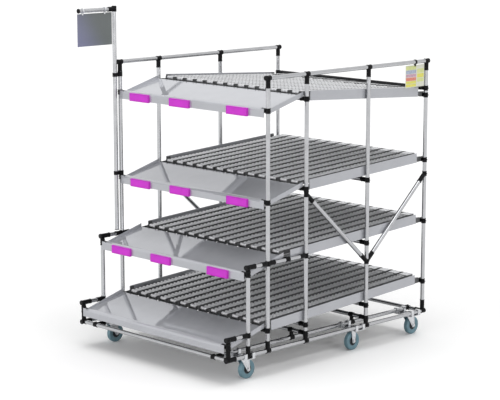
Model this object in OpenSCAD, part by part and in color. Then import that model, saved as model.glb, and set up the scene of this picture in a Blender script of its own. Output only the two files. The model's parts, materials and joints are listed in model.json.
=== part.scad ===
// Flow rack: pipe frame on casters, front trays and roller tracks on four levels.
// Millimetres, +Z up, front at -Y, origin on the floor under the middle of the rack.

/* [Frame] */
// Outside diameter of the frame pipe
pipe_d = 28; // [26:0.5:30]
// Wall of the frame pipe
pipe_wall = 1.8; // [1:0.1:3]
// Width between the post axes of the two sides
frame_w = 1419; // [1000:1:1800]
// Distance from the shortest front post to the half-height post
front_step = 175; // [150:1:200]
// Depth of a front tray, from pipe axis to pipe axis
tray_bay = 350; // [320:1:420]
// Distance between the three rear posts
rear_bay = 590; // [450:1:800]
// Height of the top rails above the return level's front pipe
top_over = 160; // [140:1:300]
// Distance from the outer to the inner base pipe
inner_inset = 129.5; // [110:0.5:180]
// Height of the middle base cross pipes above the base pipe
mid_cross_rise = 52; // [48:1:60]

/* [Joints] */
// Wall of a black joint around the pipe
sleeve_wall = 3; // [2.5:0.5:5]
// Gap between a joint and the pipe that it holds
sleeve_fit = 0.15; // [0.1:0.05:0.3]
// Length of a joint along the post that it grips
collar_h = 34; // [28:1:38]
// Length of a joint along a side pipe
run_len = 38; // [30:1:44]
// Reach of a joint's arm along a cross pipe, from the post axis
arm_len = 52; // [40:1:56]
// Reach of a joint's arm along a side pipe, from the post axis
side_arm = 60; // [45:1:66]
// Reach of the front base corners along the cross pipe, from the post axis
corner_arm = 26; // [24:1:60]
// Reach of a front inner base tee along its pipe, from the cross pipe's axis
front_tee_arm = 75; // [30:1:90]
// Reach of a rear inner base tee along its pipe, from the cross pipe's axis
tee_arm = 36; // [30:1:44]
// Reach of a base joint up its post
base_arm = 65; // [40:1:68]
// Reach of the rear base corners up their posts
rear_arm = 80; // [50:1:100]
// Reach of a top joint down its post
top_arm = 64; // [40:1:66]
// Reach of a brace joint along its brace
brace_arm = 78; // [66:1:100]
// Shank diameter of a joint screw
screw_d = 6; // [4:0.5:8]
// Thickness of a pipe end cap
cap_t = 4; // [2:0.5:8]

/* [Levels] */
// Height of the lowest level's roller line over the second full post, above the base pipe
bottom_level = 151; // [148:1:170]
// Distance between the three picking levels
level_gap = 428; // [410:1:450]
// Distance from the upper picking level to the return level
return_gap = 583; // [520:1:600]
// Rise of the picking levels towards the back, degrees
flow_angle = 3; // [2:0.1:4]
// Fall of the return level towards the back, degrees
return_angle = 3.55; // [2:0.05:4]
// Height of the return level's stop bar above its rear pipe
stop_rise = 47; // [42:1:60]

/* [Side rails] */
// Height of a side rail
rail_h = 65; // [56:1:75]
// Thickness of the side rail sheet
rail_t = 2.5; // [1.5:0.5:4]
// Width of a side rail's bottom flange
rail_flange = 25; // [15:1:30]
// Distance from a rail's front end to the front pipe
rail_front_gap = 50; // [40:1:70]
// Distance from a rail's rear end to the rear pipe
rail_rear_gap = 62; // [40:1:80]
// Thickness of a rail bracket
bracket_t = 3; // [2:0.5:5]
// Gap between the side rails or trays and the joints beside them
side_gap = 0.5; // [0.3:0.1:2]

/* [Roller tracks] */
// Distance between neighbouring tracks
track_pitch = 100; // [80:1:140]
// Width of a track channel
track_w = 74; // [50:1:80]
// Height of a track channel
track_h = 28; // [24:1:32]
// Wall of a track channel
track_wall = 1.5; // [1:0.1:2]
// Diameter of a roller wheel
roller_d = 22; // [18:1:26]
// Width of a roller wheel
roller_w = 60; // [30:1:62]
// Distance between neighbouring roller wheels
roller_pitch = 33.5; // [31:0.5:50]
// Gap under the roller wheels in their channel
roller_gap = 8; // [4:0.5:10]
// Height of the bar that joins a track's roller wheels
axle_bar = 5; // [3:0.5:8]
// Gap between a roller axle's ends and the channel walls
axle_fit = 0.1; // [0.05:0.05:0.5]
// Height of the side rail above the roller wheels
rail_over = 6; // [0:1:12]
// Gap between a side rail and the arm of the middle joint below it
mid_gap = 11; // [1:1:20]
// Thickness of a rear end bracket of a track
track_end_t = 3; // [2:0.5:5]
// Thickness of the foot of a rear end bracket
track_foot = 5; // [3:0.5:8]
// Length of the plate that covers a track's rear end
shoe_len = 60; // [30:1:90]
// Thickness of the plate that covers a track's rear end
shoe_t = 2; // [1:0.5:3]
// Length of a black stop block between two tracks
clip_len = 30; // [15:1:50]
// Gap on each side of a stop block
clip_gap = 0.5; // [0.3:0.1:2]
// Sheet thickness of a track bearer
bearer_t = 3; // [2:0.5:5]
// Width of a bearer's top flange
bearer_w = 25; // [15:1:40]

/* [Trays] */
// Thickness of the tray sheet
tray_t = 2; // [1:0.5:3]
// Height of the deck's front pipe above the tray's front pipe
tray_rise = 46; // [40:1:52]
// Slope of the tray floor, degrees
tray_angle = 13; // [12:0.1:14]
// Depth of the tray floor's plane below its front pipe's axis, at the pipe
floor_drop = 10; // [6:1:12]
// Slope of the top edges of a tray's side walls, degrees
wall_angle = 15.3; // [15:0.1:16]
// Gap between the front lip and the joints behind it
lip_gap = 1; // [0.5:0.5:3]
// Depth of the front lip below its pipe's axis
lip_drop = 42; // [38:1:50]
// Height of a tray's side walls
tray_wall = 31; // [28:1:36]
// Angle around the front pipe, above level, at which the tray's nose turns down to the floor
nose_turn = 30; // [25:1:45]

/* [Label holders] */
// Length of a label holder
label_w = 188; // [100:1:260]
// Height of a label holder
label_h = 54; // [30:1:56]
// Depth of a label holder
label_t = 17; // [8:1:24]
// Rim around the label recess
label_rim = 5; // [3:0.5:8]
// Depth of the label recess
label_recess = 3; // [1:0.5:5]
// Height of the label centre below the front pipe's axis
label_drop = 19; // [14:1:24]

/* [Braces] */
// Height of the foot of the braces below the third level's middle pipe
brace_drop = 126; // [100:1:200]
// Gap between a brace joint and the level joint above it
brace_gap = 1; // [1:1:30]

/* [Sign and card] */
// Height of the sign post's top above the top rails
sign_rise = 376; // [300:1:500]
// Distance from the front post to the sign post
sign_offset = 45; // [40:1:60]
// Clearance of the sign post's foot above the third level's side pipe
sign_foot_gap = 30; // [24:1:60]
// Distance from the sign post's axis to the sign sheet
sheet_gap = 22; // [20:1:40]
// Width of the sign sheet
sheet_w = 297; // [200:1:320]
// Height of the sign sheet
sheet_h = 217; // [150:1:297]
// Thickness of the sign sheet and the info card
sheet_t = 2; // [1:0.5:4]
// Distance from the arm's end cap to the sheet's outer edge
sheet_over = 9; // [9:1:20]
// Height of a clamp that holds the sign post
clamp_h = 26; // [20:1:30]
// Width of the info card
card_w = 193; // [120:1:220]
// Height of the info card
card_h = 150; // [100:1:160]
// Distance from the rear post to the info card
card_gap = 23; // [21:1:80]
// Width of a hanging clip
clip_w = 12; // [8:1:20]
// Wall of a hanging clip around its pipe
clip_wall = 3; // [2:0.5:5]
// Depth of a clip's jaws below its ring
clip_jaw = 12; // [8:1:20]
// Radial clearance of a turning part on its pin or pipe
run_fit = 0.08; // [0.02:0.01:0.1]

/* [Casters] */
// Diameter of a caster wheel
wheel_d = 125; // [100:1:160]
// Width of a caster wheel's tyre
wheel_w = 32; // [24:1:36]
// Depth of the tyre over the hub's rim
tyre_depth = 16; // [8:1:20]
// Radius of the tyre's rounded edges
tyre_edge = 6; // [2:0.5:8]
// Gap between a wheel and the king pin above it
wheel_gap = 5; // [4:1:20]
// Distance from the swivel axis to the wheel axle
trail = 44; // [25:1:45]
// Diameter of a caster axle
axle_d = 12; // [8:0.5:14]
// Diameter of a king pin
pin_d = 12; // [10:0.5:16]
// Height of a nut or a bolt head on a caster
nut_h = 6; // [5:0.5:8]
// Sheet thickness of a fork's legs
fork_t = 3; // [2:0.5:5]
// Thickness of a fork's crown
crown_t = 5.2; // [4:0.1:8]
// Gap between a fork's crown and its race
swivel_gap = 0.3; // [0.2:0.1:1]
// Height of a swivel race
race_h = 5; // [4:0.5:10]
// Radius of a swivel race
race_r = 30; // [24:1:36]
// Thickness of an adapter plate
plate_t = 5; // [4:0.5:8]
// Length of an adapter plate along the rack
plate_len = 96; // [92:1:110]
// Length of a pipe clamp along the rack
block_len = 24; // [18:1:26]
// Distance from the half-height post back to the front casters' swivel axis
front_caster = 2; // [0:1:4]
// Distance from the third full post to the middle casters' axle
middle_caster = 70; // [70:1:160]
// Distance from the rear post to the rear casters' swivel axis
rear_caster = 84; // [84:1:160]
// Shank diameter of a plate bolt
bolt_d = 8; // [5:0.5:10]

/* [Hidden] */
$fn = 48;
eps = 0.01;
seat = 0.05;

// How far a cutting form stands out of the piece that it cuts
cut = 1;

// Radii of pipe and joints. An arm is a little slimmer than the sleeve that it leaves.
pipe_r = pipe_d / 2;
sleeve_r = pipe_r + sleeve_wall;
arm_step = 0.4;
arm_r = sleeve_r - arm_step;
bore_r = pipe_r + sleeve_fit;
butt_gap = 2;
butt = pipe_r + butt_gap;
foot_half = 0.7 * pipe_r;
bridge_half = 0.6 * sleeve_r;
cap_step = 1;
cap_r = sleeve_r - cap_step;
screw_r = screw_d / 2;
screw_head_r = 1.6 * screw_r;
screw_head_h = 4;
screw_fit = 0.1;
screw_gap = 0.2;

// Stack of a caster, from the floor up to the base pipe
crown_top = wheel_d + wheel_gap + nut_h + crown_t;
plate_under = crown_top + swivel_gap + race_h;
plate_top = plate_under + plate_t;
base_h = plate_top + sleeve_r + side_gap;

// Places along the rack, measured from the shortest front post
half_w = frame_w / 2;
inner_x = half_w - inner_inset;
mount_x = half_w - inner_inset / 2;
d_short = 0;
d_half = front_step;
d_first = tray_bay;
d_second = 2 * tray_bay;
d_third = d_second + rear_bay;
d_rear = d_third + rear_bay;
main_posts = [d_first, d_second, d_third, d_rear];
front_end = -max(sleeve_r + cap_t, run_len / 2 + cap_t);
rear_wheel_end = d_rear - rear_caster + trail + wheel_d / 2;
rear_end = max(rear_wheel_end, d_rear + run_len / 2 + cap_t);
y_mid = (front_end + rear_end) / 2;
front_pivot = d_half + front_caster;
middle_axle = d_third - middle_caster;
rear_pivot = d_rear - rear_caster;

// Roller lines. Level 1 is the return level, level 4 the lowest.
levels = [1, 2, 3, 4];
picking = [2, 3, 4];
labelled = [1, 2, 3];
label_marks = [-478, -83, 460];
marked_w = 1419;
label_xs = label_marks * (frame_w / marked_w);
line_h = [
    bottom_level + 2 * level_gap + return_gap,
    bottom_level + 2 * level_gap,
    bottom_level + level_gap,
    bottom_level
];
deck_front = [d_second, d_second, d_half + tray_bay, d_first];
mid_pipes = [[], [d_third], [d_third], [d_second, d_third]];
function slope(n) = n == 1 ? -return_angle : flow_angle;
function line_z(n, d) = line_h[n - 1] + tan(slope(n)) * (d - d_second);
function deck_z(n) = line_z(n, deck_front[n - 1]);
function tray_d(n) = deck_front[n - 1] - tray_bay;
function tray_z(n) = deck_z(n) - tray_rise;
top_rise = line_h[0] + top_over;
lip_face = sleeve_r + lip_gap;

// Heights across a deck, measured square to it from the axis of its front and rear pipes
track_z = pipe_r + seat;
roller_z = track_z + track_wall + roller_gap + roller_d / 2;
rail_top = roller_z + roller_d / 2 + rail_over;
rail_low = rail_top - rail_h;
mid_z = rail_low - arm_r - mid_gap;
function mid_height(n, d) = line_z(n, d) + mid_z / cos(slope(n));
function deck_len(n) = (d_rear - deck_front[n - 1]) / cos(slope(n));

// Widths across a deck
rail_x = half_w - sleeve_r - side_gap;
clear_x = half_w - arm_len - side_gap;
tracks = floor((2 * clear_x - track_w) / track_pitch) + 1;
track_xs = [for (i = [0 : tracks - 1]) (i - (tracks - 1) / 2) * track_pitch];
track_start = -2;
stop_gap = 5;
track_stop = pipe_r + track_end_t + stop_gap;

// Sign and card
sign_d = d_first - sign_offset;
sign_top = top_rise + sign_rise;
arm_z = sign_top - sleeve_r;
sign_foot = deck_z(3) + sign_foot_gap;
sheet_lo = sign_d - sheet_gap - sheet_w;
arm_end = sheet_lo + sheet_over + cap_t;
elbow_trim = 5;
elbow_arm = side_arm - elbow_trim;
clip_r = pipe_r + run_fit;
sheet_clear = 3;
sheet_drop = sleeve_r + sheet_clear;
card_lo = d_rear - card_gap - card_w;

// Braces, each from a full post down to the foot on the third full post
brace_top = line_z(2, d_second) - collar_h - brace_gap;
brace_foot = mid_height(3, d_third) - brace_drop;
brace_rise = brace_top - brace_foot;
brace_len = norm([rear_bay, brace_rise]);
brace_fit = 0.3;
brace_slack = 1;
brace_near = pipe_r + brace_fit + pipe_r * brace_rise / brace_len;
brace_start = brace_near * brace_len / rear_bay + brace_slack;

// Joint: [place, run direction, run start, run end, arms, screw direction].
// An arm is [direction, length, where its pipe starts].
X = [1, 0, 0];
Y = [0, 1, 0];
Z = [0, 0, 1];
function post_at(d, h) = [half_w, d, h];
function collar(d, h, arms) = [post_at(d, h), Z, -collar_h / 2, collar_h / 2, arms, X];
function side_run(d, h, lo, hi, arms) = [post_at(d, h), Y, lo, hi, arms, X];
function inward(len) = [-X, len, butt];
short_run = run_len / 2;
short_arm = (mid_cross_rise - collar_h / 2) - side_gap;

base_joint_list = concat(
    [side_run(d_short, 0, -short_run, side_arm,
        [[Z, tray_z(4) - collar_h / 2 - side_gap, butt], inward(corner_arm)])],
    [for (d = [d_half, d_first]) side_run(d, 0, -short_run, short_run, [[Z, base_arm, butt]])],
    [for (d = [d_second, d_third]) side_run(d, 0, -short_run, short_run, [[Z, short_arm, butt]])],
    [for (d = [d_second, d_third]) collar(d, mid_cross_rise, [inward(arm_len)])],
    [side_run(d_rear, 0, -short_run, short_run, [[Z, rear_arm, butt], inward(side_arm)])]
);
tee_list = [
    [[inner_x, d_short, 0], X, -collar_h / 2, collar_h / 2, [[Y, front_tee_arm, butt]], Z],
    [[inner_x, d_rear, 0], X, -collar_h / 2, collar_h / 2, [[-Y, tee_arm, butt]], Z]
];
top_joint_list = [
    for (d = main_posts) side_run(d, top_rise, -short_run, short_run, [[-Z, top_arm, butt]])
];
stub_drop_3 = (deck_z(3) - tray_z(3)) - collar_h / 2 - side_gap;
stub_drop_4 = (deck_z(4) - tray_z(4)) - collar_h / 2 - side_gap;
level_joint_list = concat(
    [for (n = levels) collar(tray_d(n), tray_z(n), [inward(arm_len)])],
    [for (n = [1, 2, 4]) collar(deck_front[n - 1], deck_z(n), [inward(arm_len)])],
    [side_run(deck_front[2], deck_z(3), -short_run, short_run, [inward(arm_len)])],
    [for (n = picking) for (d = mid_pipes[n - 1]) collar(d, mid_height(n, d), [inward(arm_len)])],
    [for (n = levels) collar(d_rear, line_z(n, d_rear), [inward(arm_len)])],
    [collar(d_rear, line_z(1, d_rear) + stop_rise, [inward(arm_len)])],
    [side_run(d_half, deck_z(3), -short_run, side_arm, [[-Z, stub_drop_3, butt]])],
    [collar(d_first, deck_z(3), [[Y, side_arm, butt], [-Y, side_arm, butt]])],
    [collar(d_second, deck_z(3), [[-Y, side_arm, butt]])],
    [side_run(d_short, deck_z(4), -short_run, side_arm, [[-Z, stub_drop_4, butt]])],
    [collar(d_half, deck_z(4), [[-Y, side_arm, butt]])]
);
brace_dirs = [[0, -rear_bay, brace_rise] / brace_len, [0, rear_bay, brace_rise] / brace_len];
brace_ends = [d_second, d_rear];
brace_joint_list = concat(
    [collar(d_third, brace_foot, [for (v = brace_dirs) [v, brace_arm, brace_start]])],
    [for (i = [0, 1]) collar(brace_ends[i], brace_top, [[-brace_dirs[i], brace_arm, brace_start]])]
);
sign_corner = [
    [-half_w, sign_d, arm_z], Z, -sleeve_r, sign_top - arm_z, [[-Y, elbow_arm, butt]], -X
];
side_joints = concat(base_joint_list, tee_list, top_joint_list, level_joint_list, brace_joint_list);

zinc = [0.80, 0.81, 0.84];
black = [0.05, 0.05, 0.06];
sheet_grey = [0.70, 0.71, 0.74];
magenta = [0.85, 0.24, 0.84];
teal = [0.30, 0.52, 0.60];

// Everything above the floor is placed from the base pipe's height and the shortest post
module rack() translate([0, -y_mid, base_h]) children();

module both_sides() {
    children();
    mirror([1, 0, 0]) children();
}

// Turn the Z axis to a direction
module aim(v) rotate([0, acos(v[2] / norm(v)), atan2(v[1], v[0])]) children();

module tube(from, dir, len)
    translate(from) aim(dir) difference() {
        cylinder(r = pipe_r, h = len);
        translate([0, 0, -cut]) cylinder(r = pipe_r - pipe_wall, h = len + 2 * cut);
    }

module cross_tube(d, h) tube([-half_w + butt, d, h], X, frame_w - 2 * butt);

// Black joint: a sleeve around the run and a socket for each arm, with a screw hole
module joint(j) translate(j[0]) difference() {
    union() {
        aim(j[1]) translate([0, 0, j[2]]) cylinder(r = sleeve_r, h = j[3] - j[2]);
        for (a = j[4]) aim(a[0]) cylinder(r = arm_r, h = a[1]);
    }
    aim(j[1]) translate([0, 0, j[2] - brace_arm]) cylinder(r = bore_r, h = j[3] - j[2] + 2 * brace_arm);
    for (a = j[4]) aim(a[0]) translate([0, 0, a[2] - cut / 2]) cylinder(r = bore_r, h = a[1]);
    aim(j[5]) cylinder(r = screw_r + screw_fit, h = sleeve_r + cut, $fn = 24);
}

module joint_screw(j) translate(j[0]) aim(j[5]) {
    translate([0, 0, pipe_r + screw_gap]) cylinder(r = screw_r, h = sleeve_wall, $fn = 24);
    translate([0, 0, sleeve_r + seat]) difference() {
        cylinder(r = screw_head_r, h = screw_head_h, $fn = 24);
        translate([0, 0, screw_head_h / 2]) cylinder(r = screw_r * 0.7, h = screw_head_h, $fn = 6);
    }
}

// Clamp for two crossing pipes, the lower along Y and the upper along X
module crossing(d) translate([inner_x, d, 0]) difference() {
    union() {
        aim(Y) translate([0, 0, -short_run]) cylinder(r = sleeve_r, h = run_len);
        translate([-short_run, 0, mid_cross_rise]) aim(X) cylinder(r = sleeve_r, h = run_len);
        translate([-foot_half, -foot_half, 0]) cube([2 * foot_half, 2 * foot_half, mid_cross_rise]);
    }
    aim(Y) translate([0, 0, -run_len]) cylinder(r = bore_r, h = 2 * run_len);
    translate([-run_len, 0, mid_cross_rise]) aim(X) cylinder(r = bore_r, h = 2 * run_len);
}

// Clamp that holds the sign post beside the front post, with a sleeve that reaches up the front post
module parallel_clamp(h, reach) translate([-half_w, d_first, h - clamp_h / 2]) difference() {
    union() {
        cylinder(r = sleeve_r, h = clamp_h + reach);
        translate([0, -sign_offset, 0]) cylinder(r = sleeve_r, h = clamp_h);
        translate([-bridge_half, -sign_offset, 0]) cube([2 * bridge_half, sign_offset, clamp_h]);
    }
    translate([0, 0, -cut]) cylinder(r = bore_r, h = clamp_h + reach + 2 * cut);
    translate([0, -sign_offset, -cut]) cylinder(r = bore_r, h = clamp_h + 2 * cut);
}

module cap_at(place, dir) translate(place) aim(dir) cylinder(r = cap_r, h = cap_t);

// A deck's own frame: X across, Y up the slope from the front pipe, Z square to the deck
module deck(n) translate([0, deck_front[n - 1], deck_z(n)]) rotate([slope(n), 0, 0]) children();

// Extrude an outline drawn in the YZ plane, centred across the rack
module across(w) translate([-w / 2, 0, 0]) rotate([90, 0, 90]) linear_extrude(w) children();

// Folded pan: a lip, a rounded nose over the front pipe, a rising floor, side walls and a rear flange
module tray(n) {
    rear = tray_bay - pipe_r - seat;
    nose_z = pipe_r + seat - lip_face;
    nose_r = lip_face + tray_t;
    rise = tan(tray_angle);
    fall = 1 / tan(nose_turn);
    floor_front = (nose_z + nose_r / sin(nose_turn) + floor_drop) / (rise + fall);
    function floor_z(y) = rise * y - floor_drop;
    function wall_z(y) = tan(wall_angle) * y;
    turn = [cos(nose_turn), sin(nose_turn)];
    function on_nose(r, back) = [0, nose_z] + r * turn + back * [-turn[1], turn[0]];
    under = (nose_z + lip_face / sin(nose_turn) + floor_drop + tray_t) / (rise + fall);
    color(sheet_grey) rack() translate([0, tray_d(n), tray_z(n)]) {
        across(2 * rail_x) {
            translate([-nose_r, -lip_drop]) square([tray_t, lip_drop + nose_z]);
            polygon([
                [floor_front, floor_z(floor_front) - tray_t], [rear, floor_z(rear) - tray_t],
                [rear, floor_z(rear)], [floor_front, floor_z(floor_front)]
            ]);
        }
        across(2 * clear_x) {
            difference() {
                translate([0, nose_z]) circle(r = nose_r);
                translate([0, nose_z]) circle(r = lip_face);
                translate([-2 * nose_r, nose_z - 2 * nose_r]) square([4 * nose_r, 2 * nose_r]);
                polygon([[0, nose_z], on_nose(3 * nose_r, 0), [3 * nose_r, nose_z]]);
            }
            polygon([
                on_nose(lip_face, tray_t / 4), [under, floor_z(under) - tray_t],
                [floor_front + tray_t, floor_z(floor_front + tray_t) - tray_t],
                [floor_front + tray_t, floor_z(floor_front + tray_t)],
                [floor_front, floor_z(floor_front)], on_nose(nose_r, tray_t / 4)
            ]);
            translate([rear - tray_t, tray_rise - pipe_r / 2])
                square([tray_t, floor_z(rear) - tray_rise + pipe_r / 2 - tray_t / 2]);
        }
        both_sides() translate([(rail_x + clear_x) / 2, 0, 0]) across(rail_x - clear_x)
            translate([-nose_r, nose_z]) square([tray_t, pipe_r - nose_z]);
        both_sides() translate([rail_x - tray_t / 2, 0, 0]) across(tray_t) polygon([
            [floor_front, wall_z(floor_front) - tray_wall], [rear, wall_z(rear) - tray_wall],
            [rear, wall_z(rear)], [floor_front, wall_z(floor_front)]
        ]);
    }
}

module side_rails(n) color(sheet_grey) rack() deck(n) both_sides() {
    len = deck_len(n) - rail_front_gap - rail_rear_gap;
    translate([rail_x - rail_t, rail_front_gap, rail_low]) cube([rail_t, len, rail_h]);
    translate([rail_x - rail_flange, rail_front_gap, rail_low]) cube([rail_flange, len, rail_t]);
}

module track_channel(len) difference() {
    translate([-track_w / 2, 0, 0]) cube([track_w, len, track_h]);
    translate([-track_w / 2 + track_wall, -cut, track_wall])
        cube([track_w - 2 * track_wall, len + 2 * cut, track_h]);
}

module tracks(n) color(zinc) rack() deck(n) for (x = track_xs)
    translate([x, track_start, track_z]) track_channel(deck_len(n) - track_start - track_stop);

// A row of roller wheels joined by a bar, with its two end axles seated in the channel walls
module rollers(n) {
    span = deck_len(n) - track_start - track_stop - shoe_len - roller_d;
    count = floor(span / roller_pitch);
    first = track_start + (span - count * roller_pitch) / 2 + roller_d / 2;
    axle_w = track_w - 2 * track_wall - 2 * axle_fit;
    axle_step = 1;
    color(sheet_grey) rack() deck(n) for (x = track_xs) translate([x, first, roller_z]) {
        across(roller_w) {
            for (i = [0 : count]) translate([i * roller_pitch, 0]) circle(d = roller_d);
            translate([0, -axle_bar / 2]) square([count * roller_pitch, axle_bar]);
        }
        for (i = [0, count]) translate([-axle_w / 2, i * roller_pitch, 0]) aim(X)
            cylinder(d = axle_bar + axle_step, h = axle_w, $fn = 24);
    }
}

// Foot that carries the rear end of a track on the rear pipe
module rear_foot() square([track_stop + pipe_r / 3, track_foot]);

module track_ends() color(zinc) rack() for (n = levels) deck(n) for (x = track_xs)
    translate([x, deck_len(n) - track_stop, track_z]) across(track_w) {
        square([track_end_t, track_h + seat + shoe_t]);
        translate([-shoe_len, track_h + seat]) square([shoe_len + track_end_t, shoe_t]);
        rear_foot();
    }

// Black stop blocks in the gaps between the tracks, at their rear ends
module track_clips() color(black) rack() for (n = levels) deck(n) for (i = [1 : tracks - 1])
    translate([track_xs[i] - track_pitch / 2, deck_len(n) - track_stop, track_z])
        across(track_pitch - track_w - 2 * clip_gap) {
            translate([track_end_t - clip_len, 0]) square([clip_len, track_h + seat + shoe_t]);
            rear_foot();
        }

module track_bearers() color(zinc) rack() for (n = picking) for (d = mid_pipes[n - 1])
    deck(n) translate([0, (d - deck_front[n - 1]) / cos(slope(n)) + mid_z * tan(slope(n)), 0])
        across(2 * clear_x) {
            translate([-bearer_t / 2, mid_z + pipe_r + seat])
                square([bearer_t, track_z - mid_z - pipe_r - 2 * seat]);
            translate([-bearer_t / 2, track_z - bearer_t - seat]) square([bearer_w, bearer_t]);
        }

// Bracket that carries a rail's end on the joint arm around the front or rear pipe
module rail_bracket(reach) {
    lap = 36;
    low = rail_low + rail_t + seat;
    hole_r = arm_r + sleeve_fit;
    strap_wall = 6;
    lap_gap = 4;
    strap_top = hole_r + strap_wall;
    difference() {
        union() {
            translate([reach, low]) square([lap, rail_top - low - lap_gap]);
            translate([-pipe_r / 2, low]) square([reach + lap + pipe_r / 2, strap_top - low]);
        }
        circle(r = hole_r);
        translate([-pipe_r, low - pipe_r]) square([pipe_r + hole_r, pipe_r - low]);
    }
}

module rail_brackets() color(zinc) rack() for (n = levels) deck(n) both_sides()
    translate([rail_x - rail_t - bracket_t / 2, 0, 0]) {
        across(bracket_t) rail_bracket(rail_front_gap);
        translate([0, deck_len(n), 0]) mirror([0, 1, 0]) across(bracket_t) rail_bracket(rail_rear_gap);
    }

module label_holders() color(magenta) rack() for (n = labelled) for (x = label_xs)
    translate([x, tray_d(n) - lip_face - tray_t, tray_z(n) - label_drop]) difference() {
        translate([-label_w / 2, -label_t, -label_h / 2]) cube([label_w, label_t, label_h]);
        translate([-label_w / 2 + label_rim, -label_t - cut, -label_h / 2 + label_rim])
            cube([label_w - 2 * label_rim, label_recess + cut, label_h - 2 * label_rim]);
    }

module posts() color(zinc) rack() both_sides() {
    for (d = main_posts) tube(post_at(d, butt), Z, top_rise - 2 * butt);
    tube(post_at(d_half, butt), Z, deck_z(3) - 2 * butt);
    tube(post_at(d_short, butt), Z, deck_z(4) - 2 * butt);
}

module top_rails() color(zinc) rack() both_sides()
    tube(post_at(d_first - short_run, top_rise), Y, d_rear - d_first + run_len);

module stub_pipes() color(zinc) rack() both_sides() {
    tube(post_at(d_half - short_run, deck_z(3)), Y, d_first - d_half - butt + short_run);
    tube(post_at(d_first + butt, deck_z(3)), Y, d_second - d_first - 2 * butt);
    tube(post_at(d_short - short_run, deck_z(4)), Y, d_half - d_short - butt + short_run);
}

module base_side_pipes() color(zinc) rack() both_sides() {
    tube(post_at(d_short - short_run, 0), Y, d_rear - d_short + run_len);
    tube([inner_x, d_short + butt, 0], Y, d_rear - d_short - 2 * butt);
}

module base_cross_pipes() color(zinc) rack() {
    for (d = [d_short, d_rear]) cross_tube(d, 0);
    for (d = [d_second, d_third]) cross_tube(d, mid_cross_rise);
}

module level_cross_pipes() color(zinc) rack() {
    for (n = levels) {
        cross_tube(tray_d(n), tray_z(n));
        cross_tube(deck_front[n - 1], deck_z(n));
        for (d = mid_pipes[n - 1]) cross_tube(d, mid_height(n, d));
        cross_tube(d_rear, line_z(n, d_rear));
    }
    cross_tube(d_rear, line_z(1, d_rear) + stop_rise);
}

module brace_tubes() color(zinc) rack() both_sides() for (v = brace_dirs)
    tube(post_at(d_third, brace_foot) + v * brace_start, v, brace_len - 2 * brace_start);

module base_joints() color(black) rack() both_sides() {
    for (j = base_joint_list) joint(j);
    for (j = tee_list) joint(j);
    for (d = [d_second, d_third]) crossing(d);
}

module top_joints() color(black) rack() both_sides() for (j = top_joint_list) joint(j);

module level_joints() color(black) rack() both_sides() for (j = level_joint_list) joint(j);

module brace_joints() color(black) rack() both_sides() for (j = brace_joint_list) joint(j);

clamp_reach = 8;
clamp_heights = [
    top_rise - top_arm - side_gap - clamp_reach - clamp_h / 2,
    tray_z(2) + sleeve_r + clamp_h / 2 + side_gap
];
module sign_joints() color(black) rack() {
    joint(sign_corner);
    cap_at([-half_w, arm_end, arm_z], -Y);
    parallel_clamp(clamp_heights[0], clamp_reach);
    parallel_clamp(clamp_heights[1], 0);
}

module joint_screws() color(zinc) rack() {
    both_sides() for (j = side_joints) joint_screw(j);
    joint_screw(sign_corner);
}

module pipe_caps() color(black) rack() {
    both_sides() {
        cap_at(post_at(d_first - short_run, top_rise), -Y);
        cap_at(post_at(d_rear + short_run, top_rise), Y);
        cap_at(post_at(d_half - short_run, deck_z(3)), -Y);
        cap_at(post_at(d_short - short_run, deck_z(4)), -Y);
        cap_at(post_at(d_short - short_run, 0), -Y);
        cap_at(post_at(d_rear + short_run, 0), Y);
    }
    cap_at([-half_w, sign_d, sign_top], Z);
    cap_at([-half_w, sign_d, sign_foot], -Z);
}

module sign_post() color(zinc) rack() tube([-half_w, sign_d, sign_foot], Z, sign_top - sign_foot);

module sign_arm() color(zinc) rack() tube([-half_w, arm_end, arm_z], Y, sign_d - butt - arm_end);

// Ring around a pipe along Y, with two jaws that hold a sheet below it
module hanging_clip(place) translate(place) {
    ring_r = clip_r + clip_wall;
    difference() {
        union() {
            translate([0, -clip_w / 2, 0]) aim(Y) cylinder(r = ring_r, h = clip_w);
            translate([-sheet_t / 2 - clip_wall, -clip_w / 2, -ring_r - clip_jaw])
                cube([sheet_t + 2 * clip_wall, clip_w, ring_r + clip_jaw]);
        }
        translate([0, -clip_w, 0]) aim(Y) cylinder(r = clip_r, h = 2 * clip_w);
        translate([-sheet_t / 2 - seat, -clip_w, -ring_r - clip_jaw - 1])
            cube([sheet_t + 2 * seat, 2 * clip_w, clip_jaw + cut]);
    }
}

clip_inset = 2.5 * clip_w;
module sign_clips() color(zinc) rack() {
    hanging_clip([-half_w, arm_end + clip_inset, arm_z]);
    hanging_clip([-half_w, sign_d - elbow_arm - clip_inset, arm_z]);
}

module hung_sheet(lo, h, w, tall) color(sheet_grey)
    translate([-sheet_t / 2, lo, h - sheet_drop - tall]) cube([sheet_t, w, tall]);

module sign_sheet() rack() translate([-half_w, 0, 0]) hung_sheet(sheet_lo, arm_z, sheet_w, sheet_h);

module card_clip() color(black) rack() hanging_clip([half_w, card_lo + card_w / 2, top_rise]);

module info_card() rack() translate([half_w, 0, 0]) hung_sheet(card_lo, top_rise, card_w, card_h);

// Casters. Each is drawn around its swivel axis, on the floor.
module at_caster(side, d) translate([side * mount_x, d - y_mid, 0]) children();
swivels = [[-1, front_pivot], [1, front_pivot], [-1, rear_pivot], [1, rear_pivot]];
fixed = [[-1, middle_axle], [1, middle_axle]];
mounts = concat(swivels, fixed);
block_y = (plate_len - block_len) / 2 - 2;
plate_x = inner_inset + 2 * sleeve_r;
bolt_gap = 0.5;
bolt_head_h = 0.8 * race_h;
head_r = 0.8 * axle_d;
pin_head_r = 0.8 * pin_d;
leg_gap = 4;
hub_play = 1;
leg_x = wheel_w / 2 + leg_gap;
hub_half = leg_x - hub_play;

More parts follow.
